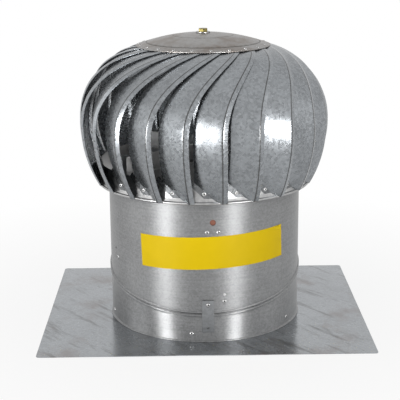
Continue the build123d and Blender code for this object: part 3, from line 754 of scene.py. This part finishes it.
def seats(node):
    """Seat and axis of each rivet head in a CAD node."""
    found = []
    for points in islands(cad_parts[node].data):
        middle = sum(points, Vector()) / len(points)
        arms = [point - middle for point in points]
        spread = Matrix([[sum(arm[r] * arm[c] for arm in arms) for c in range(3)] for r in range(3)])
        # The inverse of the spread turns any vector, step by step, towards the thinnest direction.
        axis = Vector((1, 1, 1))
        inverse = (spread + Matrix.Identity(3) * 1e-6).inverted()
        for _ in range(40):
            axis = (inverse @ axis).normalized()
        ends = sorted(arm.dot(axis) for arm in arms)
        girth = [max((arm - axis * arm.dot(axis)).length for arm in arms if abs(arm.dot(axis) - end) < 0.05)
                 for end in (ends[0], ends[-1])]
        if girth[0] < girth[1]:
            axis, ends = -axis, [-e for e in reversed(ends)]
        found.append((middle + axis * ends[0], axis))
    return found


print("first rivet of the base sits at", tuple(round(c, 1) for c in seats("base_rivets")[0][0]))

# %% [markdown]
# A head is a profile of radius and height, swept round its axis: up over the dome and down into the
# hole, whose last rings take a near-black finish, painted shade in the hole. A sphere cut off by a plane
# would be quicker, but it has no hole, and the hole is what tells a pulled rivet from a screw.

# %% Turning the heads
head_profile = ((3.2, 0), (3.15, 0.3), (2.7, 0.7), (2.0, 1.0), (1.4, 1.1))
head_profile += ((1.2, 1.0), (1.1, 0.3), (0.3, 0.25))
# Painted shade: a near-black finish for the inside of each rivet's hole.
hole_shade = Finish("rivet_hole_shade", "rivets", Base_Color=(0.02, 0.02, 0.02, 1), Roughness=0.9)


def heads(name, places, profile=head_profile, count=20):
    """A mesh with one rivet head at each place; the hole is near-black, painted shade."""
    points, faces = [], []
    for seat, axis in places:
        head_points, head_faces = capped([circle(seat, axis, *step, count) for step in profile])
        start = len(points)
        points += head_points
        faces += [tuple(start + i for i in face) for face in head_faces]
    mesh = mesh_of(name, points, faces, fold=40)
    for finish in (rivet_metal, hole_shade):
        mesh.materials.append(finish.material)
    per_head = len(faces) // len(places)
    # The hole's last rings take the painted shade finish.
    for number, polygon in enumerate(mesh.polygons):
        step = number % per_head // count
        polygon.material_index = int(step >= len(profile) - 3 and number % per_head != per_head - 2)
    return mesh


rivets_on = {"base_rivets": "base", "throat_rivets": "throat", "vane_rivets": "rotor",
             "brace_rivets": "rotor", "housing_rivets": "rotor"}
for node, body in rivets_on.items():
    places = seats(node)
    piece(heads(node.replace("rivets", "rivet_heads"), places), body, rivet_metal, node)
    print(node, len(places), "heads")

# %% [markdown]
# ## Rotor ring
#
# The ring is a rolled band with a bead round its foot, and carries all the vanes. A Screw modifier
# could turn its profile, but the helper that already lays rings round the axis gives the same skin and
# leaves no modifier behind. The bead runs out into the band through a small cove, since sheet never
# folds to a knife edge.

# %% The ring and other turned pieces
def turned(name, profile, fold=35, count=192):
    """A closed profile of radius and height, swept round the axis."""
    rings = [ring_of(level_point, *place, count=count) for place in profile]
    return mesh_of(name, *skin(rings, closed=True), fold=fold)


ring_bead, bead_middle, bead_level = 2.1, 165.4, 220.1
bead_turns = [radians(angle) for angle in range(-75, 91, 15)]
ring_profile = [(162.1, 252.0), (162.1, 219.2), (162.6, 218.3), (163.6, 218.0), (165.4, 218.0)]
ring_profile += [(bead_middle + ring_bead * cos(a), bead_level + ring_bead * sin(a)) for a in bead_turns]
ring_profile += [(164.9, 222.3), (164.3, 223.6), (163.5, 226.0), (163.0, 227.2)]
ring_profile += [(163.0, 251.6), (162.55, 252.0)]
piece(turned("rotor_band", ring_profile), "rotor", ring_zinc, "rotor_ring")
print("ring radius", max(radius for radius, _ in ring_profile), "mm over its bead")

# %% [markdown]
# ## Vanes
#
# Twenty-two vanes make the bulb. Each is one strip: a wide face that leans across the wind, a fold
# down its leading side, a narrow lip beyond the fold and a curl along the trailing edge. The strip
# could be bent by a curve modifier, but its lean, width and fold all change on the way up, so each
# cross-section is worked out on its own and the skin is stretched over them.

# %% A vane's cross-section
vane_count, vane_sheet, vane_azimuth = 22, 0.6, 6.8
waist_radius, waist_height = 194.0, 312.8
lower_arc, upper_arc, top_angle = 186.6, 118.2, 81.0
foot_level, foot_drop, flap_radius = 219.2, 5.0, 163.1
lip_reach, fold_reach = 8.0, 2.2
foot_angle = degrees(asin((foot_level - foot_drop - waist_height) / lower_arc))


def eased(path, reach, steps=4):
    """The path with each corner rounded off."""
    smooth = [path[0]]
    for before, corner, after in zip(path, path[1:], path[2:]):
        start = corner + (before - corner).normalized() * min(reach, (before - corner).length * 0.4)
        end = corner + (after - corner).normalized() * min(reach, (after - corner).length * 0.4)
        for i in range(steps + 1):
            share = i / steps
            smooth.append(start.lerp(corner, share).lerp(corner.lerp(end, share), share))
    return smooth + [path[-1]]


def vane_section(angle):
    """The strip's outline at an angle up the bulb, and the marks of its points."""
    upper = angle > 0
    arc = upper_arc if upper else lower_arc
    radius = waist_radius - arc * (1 - cos(radians(angle)))
    height = waist_height + arc * sin(radians(angle))
    level = cos(radians(angle)) ** 2
    if upper:
        lean, sweep = 5.0 + 21.5 * level, 48.0 * (1 - cos(radians(angle))) ** 1.2
        width, bend, curl = 29.0 + 14.0 * min(1, 2.2 * level), 7.0 + 38.0 * level, 5.0
    else:
        share = (sin(radians(angle)) / sin(radians(foot_angle))) ** 2
        lean, sweep = 26.5 + 7.5 * share, 1.5 * share
        width, bend, curl = 43.0 + 3.0 * share, 45.0, 5.0 - 4.0 * share
    azimuth = vane_azimuth + sweep
    climb = outward(azimuth) * -sin(radians(angle)) + UP * cos(radians(angle))
    along = around(azimuth)
    inside = climb.cross(along)
    left = Vector((-cos(radians(lean)), sin(radians(lean)))) * width
    turn = radians(lean + 70.0 * level)
    curl_end = left + Vector((-cos(turn), sin(turn))) * curl
    lip_end = Vector((cos(radians(bend - lean)), sin(radians(bend - lean)))) * lip_reach
    path = eased([curl_end, left, left * 0.66, left * 0.33, Vector((0, 0)), lip_end], fold_reach)
    runs = [(b - a).normalized() for a, b in zip(path, path[1:])]
    both = []
    for i, spot in enumerate(path):
        mean = (runs[max(i - 1, 0)] + runs[min(i, len(runs) - 1)]).normalized()
        both.append((spot, spot + Vector((-mean.y, mean.x)) * vane_sheet))
    crease = level_point(azimuth, radius, height)
    outline = [spot for spot, _ in both] + [back for _, back in reversed(both)]
    travelled = [0.0]
    for here, there in zip(path, path[1:]):
        travelled.append(travelled[-1] + (there - here).length)
    fold_at = travelled[min(range(len(path)), key=lambda i: path[i].length)]
    marks = [(crease_mark + reach - fold_at, reach, 1) for reach in travelled]
    return [crease + along * spot.x + inside * spot.y for spot in outline], marks + marks[::-1]


print("foot of the vane at", round(foot_angle, 1), "degrees below the waist")

# %% [markdown]
# At its foot the face is trimmed to the ring's cylinder, by a Boolean with one drum for the ring and
# one for all that lies below it. A Boolean forgets what was written on the points, so each point of
# the trimmed vane takes the marks of the nearest point of the uncut one.

# %% One vane, trimmed
lower_steps, upper_steps = 24, 44
angles = [foot_angle * (1 - i / lower_steps) for i in range(lower_steps)]
angles += [top_angle * i / upper_steps for i in range(upper_steps + 1)]
sections = [vane_section(angle) for angle in angles]
rings = [ring for ring, _ in sections]
points, faces = skin(rings)
size = len(rings[0])
for start, flip in ((0, False), ((len(rings) - 1) * size, True)):
    for i in range(size // 2 - 1):
        quad = (start + i, start + size - 1 - i, start + size - 2 - i, start + i + 1)
        faces.append(quad[::-1] if flip else quad)
blank = mesh_of("vane", points, faces)
strip_marks = [mark for _, marks in sections for mark in marks]


def drum(radius, low, high, count=256):
    """A solid drum on the axis, as a cutter."""
    return capped([ring_of(level_point, radius, height, count=count) for height in (low, high)])


drum_bottom, drum_beyond, vane_fold = 190, 400, 30
ring_drum, low_drum = drum(flap_radius, drum_bottom, waist_height), drum(drum_beyond, drum_bottom, foot_level)
trimmed = cut(blank, ring_drum, low_drum, fold=vane_fold)
whole = kdtree.KDTree(len(blank.vertices))
for index, vertex in enumerate(blank.vertices):
    whole.insert(vertex.co, index)
whole.balance()
marks = [strip_marks[whole.find(vertex.co)[1]] for vertex in trimmed.vertices]
print("trimmed vane points", len(trimmed.vertices))

# %% [markdown]
# Below the trim line a narrow flap is folded flat on the ring for the rivet. It could be cut out of a
# copy of the ring, but it is simpler to draw it flat between two slanting lines, as on the sheet
# before it is rolled, with x round the ring and y up, and then to wrap each point onto the ring.

# %% The flap
flap_width, flap_bottom, flap_steps, flap_columns = 8.3, 227.0, 20, 4
fold_low = Vector((radians(6.0) * flap_radius, foot_level))
fold_high = Vector((radians(-8.0) * flap_radius, 257.8))
run = (fold_high - fold_low).normalized()
beside = Vector((-run.y, run.x))
fold_low = fold_low + run * ((flap_bottom - fold_low.y) / run.y)
high_left = fold_high + beside * flap_width
low_left = high_left - run * ((high_left.y - flap_bottom) / run.y)


def on_ring(spot, lift):
    return level_point(degrees(spot.x / flap_radius), flap_radius + lift, spot.y)


flap_rings = []
for i in range(flap_steps + 1):
    left_spot = low_left.lerp(high_left, i / flap_steps)
    right_spot = fold_low.lerp(fold_high, i / flap_steps)
    spots = [left_spot.lerp(right_spot, k / flap_columns) for k in range(flap_columns + 1)]
    flap_rings.append([on_ring(s, vane_sheet) for s in spots] + [on_ring(s, 0) for s in reversed(spots)])
flap_points, flap_faces = capped(flap_rings)
print("flap points", len(flap_points))

# %% [markdown]
# One vane could be shown twenty-two times, but identical copies would look stamped. Thin sheet is pushed
# about as it is riveted, so each copy gets its own slow dents of a few tenths of a millimetre, which
# fade out where the ring and the cap hold it.

# %% All the vanes
base_points = [vertex.co / MM for vertex in trimmed.vertices]
base_faces = [tuple(polygon.vertices) for polygon in trimmed.polygons]
shift = len(base_points)
all_points = base_points + flap_points
all_faces = base_faces + [tuple(shift + i for i in face) for face in flap_faces]
all_marks = marks + [(0, 0, 0)] * len(flap_points)
free_from, free_to = 262, 424


def freedom(height):
    """0 where a vane is held by the ring or the cap, 1 where its sheet is free to dent."""
    return min(1, max(0, (height - free_from) / 30)) * min(1, max(0, (free_to - height) / 20))


for number in range(vane_count):
    turn = Matrix.Rotation(radians(360 / vane_count * number), 3, "Z")
    placed = []
    for i, point in enumerate(all_points):
        spot = turn @ point
        loose = freedom(spot.z) if i < shift else 0
        inward = Vector((-spot.x, -spot.y, 0)).normalized()
        dent = 0.7 * noise.noise(spot * 0.02) + 0.2 * noise.noise(spot * 0.06)
        placed.append(spot + inward * loose * dent)
    name = f"vane_{number + 1:02d}"
    mesh = mesh_of(f"wind_{name}", placed, all_faces, fold=vane_fold)
    note(mesh, "strip", all_marks)
    piece(mesh, "rotor", rotor_zinc, name)
print(vane_count, "vanes")

# %% [markdown]
# ## Dome cap
#
# A shallow spun cap closes the top and clamps the vanes. Its crown is part of a large sphere, ended
# by a rolled crease, with a flatter flange outside it. The two grooves could be left to a bump in the
# finish, but they are cut into the profile, so that they also catch light and show in the outline.

# %% The cap
crease_radius, inner_groove = (radius for radius, _ in cap_grooves)
crease_height, apex, dome_edge, rim_height = 433.8, 446.8, 103.2, 428.88
cap_sheet, cap_bore, cap_steps = 0.8, 4.3, 110
bell_base = 2.718
fall = apex - crease_height
sphere = (crease_radius ** 2 + fall ** 2) / 2 / fall


def dip(radius, middle, depth, width):
    """How deep a soft, bell-shaped groove is at a radius."""
    return depth * bell_base ** -(((radius - middle) / width) ** 2)


def cap_height(radius):
    """Height of the cap's outer face."""
    if radius > crease_radius:
        share = (radius - crease_radius) / (dome_edge - crease_radius)
        height = crease_height + (rim_height - crease_height) * share
    else:
        height = apex - sphere + sqrt(sphere ** 2 - radius ** 2)
    return height - dip(radius, crease_radius, 1.1, 1.5) - dip(radius, inner_groove, 0.5, 2.5)


radii = [cap_bore + (dome_edge - cap_bore) * i / cap_steps for i in range(cap_steps + 1)]
cap_profile = [(radius, cap_height(radius)) for radius in radii]
cap_profile += [(radius, cap_height(radius) - cap_sheet) for radius in reversed(radii)]
piece(turned("spun_cap", cap_profile), "rotor", dome_zinc, "dome_cap")
print("cap crown rises", round(fall, 1), "mm")

# %% [markdown]
# A washer and a hexagon bolt hold the cap to the bearing housing. Both are turned or milled to a few
# plain faces, so a short profile and three hexagons are enough; the last, smaller hexagon is the
# chamfer that takes the sharp corners off the head.

# %% The washer and the bolt
washer_bottom, washer_top, washer_radius = apex, 448.4, 11.0
washer_profile = [(cap_bore, washer_bottom), (10.8, washer_bottom), (washer_radius, 447.0)]
washer_profile += [(washer_radius, 448.2), (10.8, washer_top), (cap_bore, washer_top)]
piece(turned("cap_washer", washer_profile, count=64), "rotor", washer_plating, "dome_washer")


def hexagon(reach, height):
    """The corners of a level hexagon, by their distance from the axis."""
    return [Vector((sin(pi * k / 3) * reach, cos(pi * k / 3) * reach, height)) for k in range(6)]


bolt_width, bolt_shoulder, bolt_top = 13.0, 452.6, 453.2
corner = bolt_width / 2 / cos(pi / 6)
bolt_rings = [hexagon(corner, washer_top), hexagon(corner, bolt_shoulder), hexagon(corner * 0.9, bolt_top)]
piece(mesh_of("cap_bolt", *capped(bolt_rings), fold=20), "rotor", plating, "dome_bolt")
print("bolt is", bolt_width, "mm across its flats")

# %% [markdown]
# One small rivet ties each vane to the cap's flange. These heads have no cone in the CAD to stand for,
# so their places come from the cap's own slope. They are the same head at three quarters of its size.

# %% Rivets on the cap's flange
rivet_circle, rivet_start, small = 97.5, 5.6, 0.75
flange_slope = (crease_height - rim_height) / (dome_edge - crease_radius)
flange_places = []
for number in range(vane_count):
    azimuth = rivet_start + 360 / vane_count * number
    seat = level_point(azimuth, rivet_circle, cap_height(rivet_circle))
    flange_places.append((seat, (outward(azimuth) * flange_slope + UP).normalized()))
small_head = tuple((radius * small, lift * small) for radius, lift in head_profile)
piece(heads("cap_rivet_heads", flange_places, small_head), "rotor", rivet_metal)
print("rivets on the flange:", len(flange_places))

# %% [markdown]
# ## Pieces that keep their CAD shape
#
# Clips, brackets, braces, plates, hubs and bushes are plain bent or turned parts whose CAD shape is
# already right. They could be made again in finer form, but most are seen only through the gaps
# between vanes, so they only get a finish.

# %% Finishes for the rest
kept = {
    plate_zinc: ("base_collar",),
    throat_zinc: ("seam_clips",),
    strap_zinc: ("lock_strap",),
    primer: ("bracket_arm_1", "bracket_arm_2", "bracket_arm_3", "bracket_hub"),
    plating: ("hub_screws", "shaft_nuts"),
    bright_steel: ("shaft", "thrust_button"),
    brace_zinc: ("brace_arm_1", "brace_arm_2", "brace_arm_3", "brace_arm_4", "brace_plate_lower",
                 "brace_plate_upper", "top_plate"),
    turned_steel: ("brace_hub", "bearing_housing"),
    bronze: ("lower_bush", "top_bush"),
}
for finish, names in kept.items():
    for name in names:
        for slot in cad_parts[name].material_slots:
            slot.material = finish.material
print("CAD pieces dressed:", sum(len(names) for names in kept.values()))

# %% [markdown]
